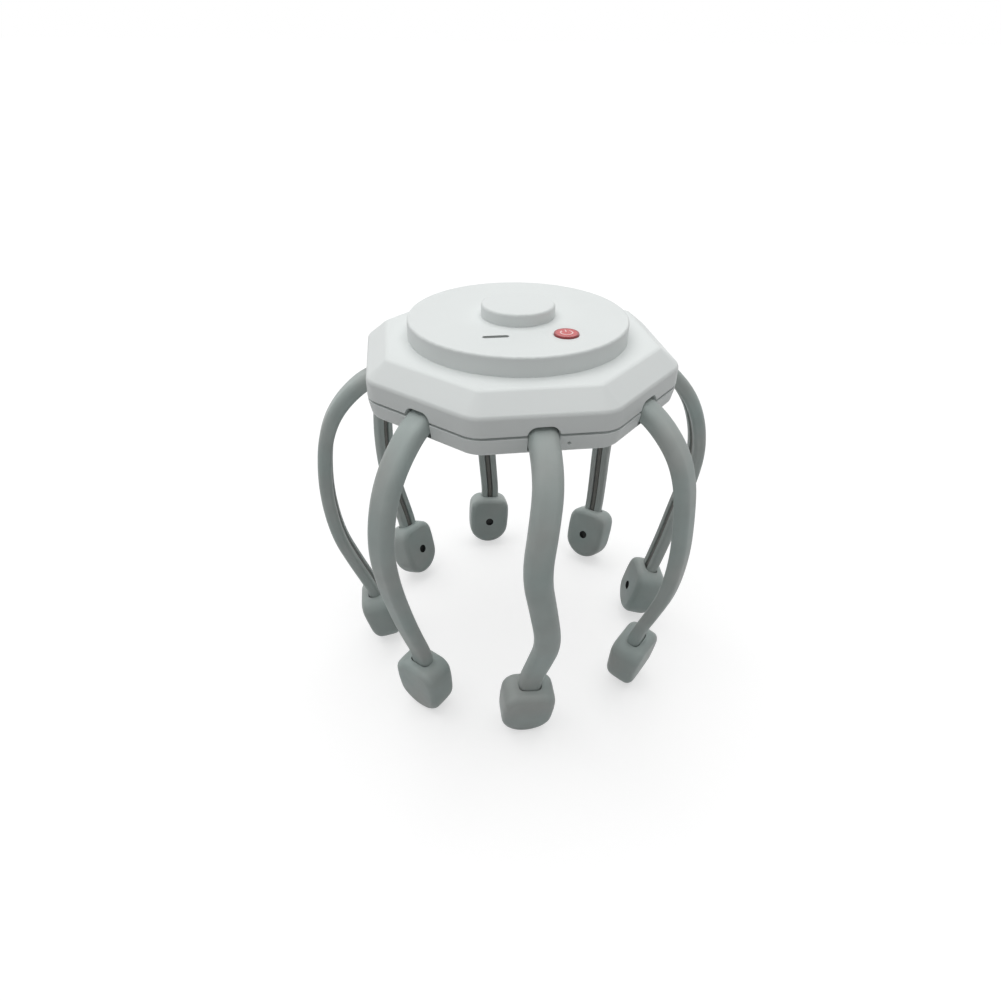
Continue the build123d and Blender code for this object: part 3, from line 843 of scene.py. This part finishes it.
class MASSAGER_OT_lower_shell(bpy.types.Operator):
    """Builds the lower shell with its lip, screw wells, pinhole and charging opening"""

    bl_idname = "massager.lower_shell"
    bl_label = "Lower shell"

    def execute(self, context):
        flats = size("across_flats") / 2
        top = PARTING - SEAM
        middle = PARTING - SEAM / 2
        shell = octagon_block("lower_shell", flats, size("corner"), 0.0, top)
        pick("VERT", lambda v: near(v.co.z, 0.0))
        shrink = (flats - LOWER_TAPER) / flats
        bpy.ops.transform.resize(value=(shrink, shrink, 1), center_override=(0, 0, 0))
        outward(shell)
        soften(shell, 0.0, 1.7, 5)
        soften(shell, top, size("seam_edge"), 2)
        lip = octagon_block("lip", flats - WALL - 0.2, 0.0, top - 1.0, PARTING + 1.6)
        add(shell, outward(lip))
        hollow = octagon_block("lower_hollow", flats - WALL - 1.0, 0.0, FLOOR, PARTING + 5)
        cut(shell, outward(hollow))
        for turn in QUARTERS:
            add(shell, post("screw_post", CASE_POST, RIB_FOOT, middle, screw_place(turn), 32))
        add(shell, rib_ring(RIB_FOOT, middle))
        cut(shell, all_round(block("gate", GATE, (0, -RIB_RADIUS, PARTING)), "gates"))
        tray = block("tray", TRAY, (0, 0, TRAY_MIDDLE))
        cut(tray, block("tray_inside", TRAY_INSIDE, (0, 0, TRAY_MIDDLE)))
        add(shell, tray)
        cut(shell, notch_cutter(size("arm_width") + NOTCH_PLAY))
        for turn in QUARTERS:
            place = screw_place(turn)
            cut(
                shell, post("well_mouth", 3.3, -0.4, 0.4, place, 48, 2.9),
                post("screw_well", 2.9, -1.0, 6.8, place, 48),
                post("screw_hole", 1.5, 6.0, PARTING + 1, place, 32),
            )
        mouth = slot_cutter("charge_mouth", *MOUTH, -8, 8)
        pinhole = post("pinhole", 0.35, -1.4, 1.0, sides=32, top_radius=0.95)
        cut(shell, lie_down(mouth, MOUTH_PLACE), lie_down(pinhole, PINHOLE_PLACE))
        smooth(shell)
        dress(shell, bpy.data.materials["moulded_white_plastic"])
        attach(shell, "housing")
        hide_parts("bottom_cover")
        return {"FINISHED"}


# ---- button and window ----
def off_button(vertex):
    """Distance of a vertex from the button's middle."""
    return (vertex.co.xy - Vector(BUTTON_PLACE) * MM).length


class MASSAGER_OT_button(bpy.types.Operator):
    """Builds the round power button with its raised sign"""

    bl_idname = "massager.button"
    bl_label = "Power button"

    def execute(self, context):
        radius = size("button") / 2
        top = DISC + CAP_RISE
        cap = post("button_cap", radius, CAP_FOOT, top, BUTTON_PLACE, 96)
        edit(cap)
        pick("FACE", lambda f: f.normal.z > 0.9)
        bpy.ops.mesh.inset(thickness=CAP_RIM * MM, depth=0.0)
        bpy.ops.transform.translate(value=(0, 0, -CAP_DISH * MM))
        ring = flat_edge(top)
        rim = (radius - 0.1) * MM
        round_edges(cap, lambda e: ring(e) and all(off_button(v) > rim for v in e.verts), 0.4, 4)
        add(
            cap, post("flange", radius + 1.0, *FLANGE, BUTTON_PLACE, 64),
            post("stem", 1.5, *STEM, BUTTON_PLACE, 32),
        )
        smooth(cap, 40.0)
        # painted shade: the cap's side and rim get a darker copy of its red
        dress(cap, button_red("red_button_painted_shade", colours().button))
        # painted light: the dished face gets a lighter copy of the same red
        face = (radius - CAP_RIM + 0.05) * MM
        second_finish(
            cap, button_red("red_button_face_painted_light", colours().button_face),
            lambda f: f.normal.z > 0.9 and f.calc_center_median().z > (DISC + 0.3) * MM
            and all(off_button(v) < face for v in f.verts),
        )
        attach(cap, "button")
        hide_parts("power_button")

        # sign: a ring open towards the rear, and a bar in the gap
        level = top - CAP_DISH
        leave_edit()
        bpy.ops.mesh.primitive_plane_add(size=SIGN_LINE * MM, rotation=(math.pi / 2, 0, 0))
        sign = apply_place(bpy.context.object, "power_sign")
        sign.data.transform(Matrix.Scale(SIGN_FLATNESS, 4, (0, 0, 1)))
        sign.data.transform(Matrix.Translation((SIGN_RADIUS * MM, 0, level * MM)))
        sign.data.transform(Matrix.Rotation(math.radians(90 - SIGN_GAP / 2), 4, "Z"))
        edit(sign)
        select_every()
        bpy.ops.mesh.spin(
            steps=40, angle=math.radians(360 - SIGN_GAP), center=(0, 0, level * MM),
            axis=(0, 0, 1), use_auto_merge=False,
        )
        select_every()
        bpy.ops.mesh.remove_doubles(threshold=0.00001)
        bar = block("sign_bar", (SIGN_LINE, 2.2, SIGN_LINE * SIGN_FLATNESS), (0, 1.8, level))
        join([outward(sign), bar], "power_sign")
        sign.data.transform(Matrix.Translation((BUTTON_PLACE[0] * MM, BUTTON_PLACE[1] * MM, 0)))
        smooth(sign, 30.0)
        dress(sign, plain("sign_ink", colours().sign, (0.35, 0.45), patch=2.0))
        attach(sign, "button")
        return {"FINISHED"}


class MASSAGER_OT_window(bpy.types.Operator):
    """Builds the indicator window that fills the slot, with its rim and foot under the disc"""

    bl_idname = "massager.window"
    bl_label = "Indicator window"

    def execute(self, context):
        low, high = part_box("light_guide")
        under = DISC_CEILING - 0.1
        top = DISC - WINDOW_SUNK
        window = outward(slot_cutter(
            "slot_window", SLOT_LENGTH - 0.2, SLOT_WIDTH - 0.2, DISC_CEILING - 0.3, top, SLOT_PLACE
        ))
        round_edges(window, flat_edge(top), 0.15, 2)
        rim = [(high[axis] - low[axis]) / MM for axis in (0, 1)]
        add(
            window, slab("window_foot", (3.0, 1.5), low[2] / MM, under, SLOT_PLACE),
            slab("window_rim", rim, under - 0.8, under, SLOT_PLACE),
        )
        smooth(window)
        dress(window, plain("indicator_window", colours().window, (0.3, 0.38), patch=3.0))
        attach(window, "housing")
        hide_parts("light_guide")
        return {"FINISHED"}


# ---- arms ----
def arm_route(name):
    """Centre line of an arm, as distance out, height and sideways, and where its head hangs."""
    side_lean, out_lean = ARM_LEAN[name]
    points = []
    for radius, height, shares in ARM_LINE:
        side = sum(share * lean for share, lean in zip(shares, side_lean))
        out = sum(share * lean for share, lean in zip(shares, out_lean))
        points.append(Vector((radius + out, PARTING + height, -side)))
    tilt, lean = (math.radians(angle) for angle in HEAD_HANG[name])
    along = math.cos(lean)
    hang = -Vector((math.sin(tilt) * along, math.cos(tilt) * along, math.sin(lean)))
    neck = Vector((NECK_RADIUS + out_lean[2], PARTING - NECK_DROP, -side_lean[2]))
    points += [neck + hang * far for far in (0.0, NECK_LENGTH, NECK_LENGTH + SOCKET_DEPTH)]
    return points, hang


def arm_matrix(name):
    """From an arm's own axes (out, up, sideways) to the housing's."""
    out, side = arm_directions(name)
    return Matrix((
        (out.x, 0, -side.x, 0), (out.y, 0, -side.y, 0), (0, 1, 0, 0), (0, 0, 0, 1),
    ))


def rounded(corners, steps=5):
    """Closed outline with each corner (x, y, radius) rounded."""
    outline = []
    for index, (x, y, radius) in enumerate(corners):
        here = Vector((x, y))
        back = (Vector(corners[index - 1][:2]) - here).normalized()
        ahead = (Vector(corners[(index + 1) % len(corners)][:2]) - here).normalized()
        opening = back.angle(ahead)
        reach = radius / math.tan(opening / 2)
        centre = here + (back + ahead).normalized() * radius / math.sin(opening / 2)
        start = here + back * reach - centre
        turn = start.angle_signed(here + ahead * reach - centre)
        for step in range(steps + 1):
            spoke = start.copy()
            spoke.rotate(Matrix.Rotation(-turn * step / steps, 2))
            outline.append(centre + spoke)
    return outline


def profile_curve(name, outline):
    """Closed flat outline to sweep along an arm."""
    curve = bpy.data.curves.new(name, "CURVE")
    curve.dimensions = "2D"
    spline = curve.splines.new("POLY")
    spline.points.add(len(outline) - 1)
    for point, place in zip(spline.points, outline):
        point.co = (place.x * MM, place.y * MM, 0, 1)
    spline.use_cyclic_u = True
    return new_object(name, curve)


def swept(name, arm, profile):
    """Profile swept smoothly along an arm's centre line, narrowing to its tip."""
    route, _ = arm_route(arm)
    narrowing = size("arm_tip_width") / size("arm_width") - 1.0
    curve = bpy.data.curves.new(name, "CURVE")
    curve.dimensions = "3D"
    curve.twist_mode = "Z_UP"
    curve.resolution_u = 12
    curve.bevel_mode = "OBJECT"
    curve.bevel_object = profile
    curve.use_fill_caps = True
    spline = curve.splines.new("NURBS")
    spline.points.add(len(route) - 1)
    run = [0.0]
    for before, after in zip(route, route[1:]):
        run.append(run[-1] + (after - before).length)
    for point, place, far in zip(spline.points, route, run):
        point.co = (*(place * MM), 1)
        point.radius = 1.0 + narrowing * far / run[-1]
    spline.order_u = 3
    spline.use_endpoint_u = True
    choose(new_object(name, curve))
    bpy.ops.object.convert(target="MESH")
    obj = rename(bpy.context.object, name)
    edit(obj)
    select_every()
    bpy.ops.mesh.remove_doubles(threshold=0.000001)
    outward(obj)
    obj.data.transform(arm_matrix(arm))
    return obj


def bend_from_root(obj):
    """Puts the piece's place into its mesh."""
    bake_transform(obj)


class MASSAGER_OT_arms(bpy.types.Operator):
    """Builds the eight soft arms, each with its lead groove and root flange"""

    bl_idname = "massager.arms"
    bl_label = "Arms"

    def execute(self, context):
        wide = size("arm_width") / 2
        deep = size("arm_thickness") / 2
        groove = size("groove_width") / 2
        floor = deep - size("groove_depth")
        profile = profile_curve("arm_profile", rounded([
            (-deep, wide, ARM_OUTER_ROUND), (-deep, -wide, ARM_OUTER_ROUND),
            (deep, -wide, ARM_INNER_ROUND), (deep, -groove, GROOVE_ROUND),
            (floor, -groove, GROOVE_ROUND), (floor, groove, GROOVE_ROUND),
            (deep, groove, GROOVE_ROUND), (deep, wide, ARM_INNER_ROUND),
        ]))
        silicone = soft_silicone()
        for name in ARM_NAMES:
            arm = swept(f"{name}_arm", name, profile)
            flange = block("flange", ROOT_FLANGE, (0, -ROOT_FLANGE_RADIUS, PARTING))
            round_edges(flange, lambda e: True, 0.6, 3)
            flange.data.transform(turned(ARM_NAMES.index(name)))
            join([arm, flange], f"{name}_arm")
            smooth(arm, 38.0)
            dress(arm, silicone)
            bend_from_root(arm)
            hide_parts(f"arm_{name}")
        bpy.data.objects.remove(profile)
        return {"FINISHED"}


class MASSAGER_OT_leads(bpy.types.Operator):
    """Lays a flat lead in the groove of each arm"""

    bl_idname = "massager.leads"
    bl_label = "Arm leads"

    def execute(self, context):
        deep, wide = LEAD_HALF
        profile = profile_curve("lead_profile", rounded([
            (LEAD_OFFSET - deep, wide, 0.4), (LEAD_OFFSET - deep, -wide, 0.4),
            (LEAD_OFFSET + deep, -wide, 0.65), (LEAD_OFFSET + deep, wide, 0.65),
        ], 4))
        sleeve = plain(
            "lead_sleeve", colours().groove, (0.42, 0.56), patch=4.0, contrast=0.08, grain=0.4
        )
        for name in ARM_NAMES:
            lead = swept(f"{name}_arm_lead", name, profile)
            smooth(lead, 38.0)
            dress(lead, sleeve)
            bend_from_root(lead)
            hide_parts(f"lead_{name}")
        bpy.data.objects.remove(profile)
        return {"FINISHED"}


# ---- massage heads ----
def head_blank(silicone, painted_shade):
    """One massage head: x across, y outward, z up its length, from the middle of its top."""
    width = size("head_width")
    height = size("head_height")
    thick = size("head_thickness")
    head = slab("head_blank", (width, thick), -height, 0)
    edit(head)
    for level in (HEAD_SHOULDER, HEAD_CALF):
        select_every()
        bpy.ops.mesh.bisect(plane_co=(0, 0, level * MM), plane_no=(0, 0, 1))
    widths = ((0.0, HEAD_TOP_WIDTH), (HEAD_CALF, HEAD_CALF_WIDTH), (-height, HEAD_FOOT_WIDTH))
    for level, wide in widths:
        pick("VERT", lambda v: near(v.co.z, level))
        bpy.ops.transform.resize(
            value=(wide / width, 1, 1), center_override=(0, 0, level * MM)
        )
    for level, thinning in ((HEAD_CALF, HEAD_CALF_THINNING), (-height, HEAD_FOOT_THINNING)):
        for face, less in zip((1, -1), thinning):
            pick("VERT", lambda v: near(v.co.z, level) and v.co.y * face > 0)
            bpy.ops.transform.translate(value=(0, -face * less * MM, 0))
    across = thick * 0.55 * MM
    for level, radius, segments in ((-height, HEAD_FOOT_ROUND, 12), (0.0, HEAD_TOP_ROUND, 8)):
        round_edges(
            head, lambda e: abs(e.verts[0].co.y - e.verts[1].co.y) > across
            and near(e.verts[0].co.z, level),
            radius, segments,
        )
    round_edges(
        head, lambda e: all(abs(v.co.y) > 3.5 * MM for v in e.verts)
        and e.verts[0].co.y * e.verts[1].co.y > 0 and e.calc_face_angle(0.0) > 0.7,
        HEAD_RIM_ROUND, 6,
    )
    outward(head)
    modify(head, "melt", "CORRECTIVE_SMOOTH", factor=0.5, iterations=2, use_only_smooth=True)

    # socket for the arm's end, the motor's chamber, and the dimple in the inward face
    socket = block("socket", (10.2, 6.3, 9.0), (0, 0, -2.2))
    weight_chamber = block("weight_chamber", (14.0, 11.2, 5.4), (0, 0, -20.7))
    dimple = post("dimple", DIMPLE_RADIUS, -DIMPLE_DEPTH, 3.0, sides=48)
    round_edges(dimple, flat_edge(-DIMPLE_DEPTH), 0.6, 3)
    cut(
        head, round_edges(socket, upright_edge(6), 2.3, 5),
        block("chamber", (10.4, 8.4, 11.4), (0, 0, -12.4)),
        round_edges(weight_chamber, upright_edge(4), 4.5, 6),
        lie_down(dimple, (0, -thick / 2, -DIMPLE_DROP)),
    )
    smooth(head, 40.0)
    dress(head, silicone)
    # painted shade: the faces inside the dimple get a near-black finish, for the shade in the
    # hollow
    centre = Vector((0, -DIMPLE_DROP * MM))
    second_finish(
        head, painted_shade,
        lambda f: f.calc_center_median().y < (DIMPLE_DEPTH + 0.1 - thick / 2) * MM
        and all((v.co.xz - centre).length < (DIMPLE_RADIUS + 0.03) * MM for v in f.verts),
    )
    return head


def turn_inside_out(obj):
    """Turns over the faces of a mesh that a mirrored copy turned the wrong way."""
    edit(obj)
    select_every()
    bpy.ops.mesh.flip_normals()
    leave_edit()


class MASSAGER_OT_heads(bpy.types.Operator):
    """Builds one massage head and copies it to the end of every arm"""

    bl_idname = "massager.heads"
    bl_label = "Massage heads"

    def execute(self, context):
        # painted shade for the hollow of each dimple
        painted_shade = plain("dimple_painted_shade", colours().dimple, (0.5, 0.62), patch=1.5)
        blank = head_blank(bpy.data.materials["grey_silicone"], painted_shade)
        for name in ARM_NAMES:
            route, hang = arm_route(name)
            to_housing = arm_matrix(name)
            top = to_housing @ (route[-2] * MM)
            up = (to_housing.to_3x3() @ -hang).normalized()
            side = arm_directions(name)[1]
            across = (side - up * side.dot(up)).normalized()
            axes = Matrix((across, across.cross(up), up)).transposed().to_4x4()
            twist = Matrix.Rotation(math.radians(HEAD_TWIST.get(name, 0.0)), 4, "Z")
            mirror = Matrix.Scale(-1, 4, (1, 0, 0))
            place = Matrix.Translation(top) @ axes @ twist @ mirror
            head = duplicate(blank, f"{name}_head", place)
            turn_inside_out(head)
            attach(head, f"arm_{name}")
            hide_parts(f"massage_head_{name}")
        bpy.data.objects.remove(blank)
        return {"FINISHED"}


# ---- screws ----
class MASSAGER_OT_screws(bpy.types.Operator):
    """Builds the four case screws, seen in their wells from below"""

    bl_idname = "massager.screws"
    bl_label = "Case screws"

    def execute(self, context):
        screw = post("case_screw", 2.7, SCREW_HEAD, 6.8, sides=40)
        round_edges(screw, flat_edge(SCREW_HEAD), 0.7, 4)
        add(screw, post("thread", 1.3, 6.0, 14.6, sides=24, top_radius=1.1))
        for turn in (0.0, math.pi / 2):
            cut(screw, block("cross", (2.9, 0.6, 2.4), (0, 0, SCREW_HEAD), turn))
        smooth(screw, 35.0)
        copies = []
        for turn in QUARTERS:
            x, y = screw_place(turn)
            # each screw has stopped at a turn of its own
            move = Matrix.Translation((x * MM, y * MM, 0)) @ Matrix.Rotation(turn, 4, "Z")
            copies.append(duplicate(screw, f"case_screw_{turn}", move))
        bpy.data.objects.remove(screw)
        screws = join(copies, "case_screw_set")
        dress(screws, brushed("zinc_steel", linear(178, 180, 182), (0.28, 0.42)))
        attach(screws, "housing")
        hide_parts("case_screws")
        return {"FINISHED"}


# ---- parts that keep their own shape ----
class MASSAGER_OT_inner_finishes(bpy.types.Operator):
    """Gives the parts that keep their own shape their finishes"""

    bl_idname = "massager.inner_finishes"
    bl_label = "Inner finishes"

    def execute(self, context):
        made = bpy.data.materials
        steel = made["zinc_steel"]
        sleeve = made["lead_sleeve"]
        shell = made["moulded_white_plastic"]
        silicone = made["grey_silicone"]
        black = plain("black_plastic", linear(38, 38, 40), (0.4, 0.52))
        can = brushed("motor_can_steel", linear(190, 190, 188), (0.22, 0.36))
        weight = brushed("weight_metal", linear(150, 146, 140), (0.34, 0.48))
        board = plain(
            "circuit_board_green", linear(24, 84, 56), (0.3, 0.42), patch=2.5, contrast=0.12
        )
        lamp = plain("lamp_yellow", linear(226, 214, 150), (0.25, 0.35), patch=1.0)
        foil = plain("battery_foil", linear(176, 178, 182), (0.3, 0.44), metal=0.8, patch=12.0)
        wear = {
            "top_cover": shell, "bottom_cover": shell, "power_button": made["red_button_painted_shade"],
            "light_guide": made["indicator_window"], "lead_tails": sleeve, "battery_lead": sleeve,
            "charge_lead": sleeve, "case_screws": steel, "board_screws": steel,
            "circuit_board": board, "charge_board": board, "charge_socket": can,
            "switch_body": black, "switch_plunger": black, "indicator_led": lamp, "battery": foil,
        }
        for name in ARM_NAMES:
            wear.update({
                f"arm_{name}": silicone, f"massage_head_{name}": silicone,
                f"lead_{name}": sleeve, f"motor_{name}": can, f"motor_rotor_{name}": weight,
            })
        for node, material in wear.items():
            dress(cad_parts[node], material)
        return {"FINISHED"}


# ---- stage ----
def background_rays(tree):
    """1 for rays from the camera, a reflection or glass, and 0 for the light on the object."""
    path = tree.nodes.new("ShaderNodeLightPath")
    total = path.outputs["Is Camera Ray"]
    for kind in ("Is Glossy Ray", "Is Transmission Ray"):
        both = tree.nodes.new("ShaderNodeMath")
        both.operation = "ADD"
        both.use_clamp = True
        tree.links.new(total, both.inputs[0])
        tree.links.new(path.outputs[kind], both.inputs[1])
        total = both.outputs[0]
    return total


class MASSAGER_OT_stage(bpy.types.Operator):
    """Sets the floor, the soft light and the camera"""

    bl_idname = "massager.stage"
    bl_label = "Stage"

    def execute(self, context):
        leave_edit()
        bpy.ops.mesh.primitive_plane_add(
            size=FLOOR_SIZE, location=(0, 0, cad_box[0][2] - FLOOR_GAP)
        )
        floor = apply_place(bpy.context.object, "studio_floor")
        material, tree, shader, _ = mottled(
            "studio_floor", colours().floor, 0.004, 400.0, (0.8, 0.9), 2.0, 0.05
        )
        constants(shader, {"Specular IOR Level": 0.0})
        link = tree.links.new
        glow = tree.nodes.new("ShaderNodeEmission")
        total = tree.nodes.new("ShaderNodeAddShader")
        share = tree.nodes.new("ShaderNodeMath")
        share.operation = "MULTIPLY"
        share.inputs[1].default_value = FLOOR_GLOW
        link(background_rays(tree), share.inputs[0])
        link(share.outputs[0], glow.inputs["Strength"])
        link(shader.outputs[0], total.inputs[0])
        link(glow.outputs[0], total.inputs[1])
        link(total.outputs[0], tree.nodes["Material Output"].inputs["Surface"])
        dress(floor, material)

        world = bpy.data.worlds.new("studio_air")
        world.use_nodes = True
        context.scene.world = world
        tree = world.node_tree
        sky = tree.nodes["Background"]
        sky.inputs["Color"].default_value = (1.0, 1.0, 1.0, 1.0)
        level = tree.nodes.new("ShaderNodeMapRange")
        level.inputs["To Min"].default_value = AIR_LEVEL
        level.inputs["To Max"].default_value = 1.0
        tree.links.new(background_rays(tree), level.inputs["Value"])
        tree.links.new(level.outputs["Result"], sky.inputs["Strength"])

        light = bpy.data.lights.new("overhead", "SUN")
        light.angle = math.radians(LAMP_SPREAD)
        light.energy = LAMP_ENERGY
        lamp = new_object("overhead", light)
        lamp.location = Vector(LAMP_DIRECTION)
        lamp.rotation_euler = (-lamp.location).to_track_quat("-Z", "Y").to_euler()

        camera_data = bpy.data.cameras.new("camera")
        camera_data.lens = FOCAL_SHARE * SENSOR
        camera_data.sensor_width = SENSOR
        camera_data.clip_start = 0.01
        camera = new_object("camera", camera_data)
        camera.matrix_world = Matrix(CAMERA_PLACE)
        context.scene.camera = camera
        context.scene.view_settings.view_transform = "Standard"
        return {"FINISHED"}


OPERATORS = (
    MASSAGER_OT_upper_shell,
    MASSAGER_OT_lower_shell,
    MASSAGER_OT_button,
    MASSAGER_OT_window,
    MASSAGER_OT_arms,
    MASSAGER_OT_leads,
    MASSAGER_OT_heads,
    MASSAGER_OT_screws,
    MASSAGER_OT_inner_finishes,
    MASSAGER_OT_stage,
)


class MASSAGER_PT_panel(bpy.types.Panel):
    """Lists the massager's pieces, sizes and colours"""

    bl_idname = "MASSAGER_PT_panel"
    bl_label = "Electric scalp massager"
    bl_space_type = "VIEW_3D"
    bl_region_type = "UI"
    bl_category = "Massager"

    def draw(self, context):
        column = self.layout.column(align=True)
        for operator in OPERATORS:
            column.operator(operator.bl_idname)
        for group in (context.scene.massager_sizes, context.scene.massager_colours):
            box = self.layout.box()
            for name in group.__annotations__:
                box.prop(group, name)


CLASSES = (MassagerSizes, MassagerColours, *OPERATORS, MASSAGER_PT_panel)


def register():
    """Adds the massager's classes to Blender."""
    for one in CLASSES:
        bpy.utils.register_class(one)
    bpy.types.Scene.massager_sizes = PointerProperty(type=MassagerSizes)
    bpy.types.Scene.massager_colours = PointerProperty(type=MassagerColours)


def unregister():
    """Takes them out again."""
    del bpy.types.Scene.massager_colours
    del bpy.types.Scene.massager_sizes
    for one in reversed(CLASSES):
        bpy.utils.unregister_class(one)


def main():
    """Builds every piece."""
    register()
    for operator in OPERATORS:
        group, name = operator.bl_idname.split(".")
        getattr(getattr(bpy.ops, group), name)()
    leave_edit()


if __name__ == "__main__":
    main()
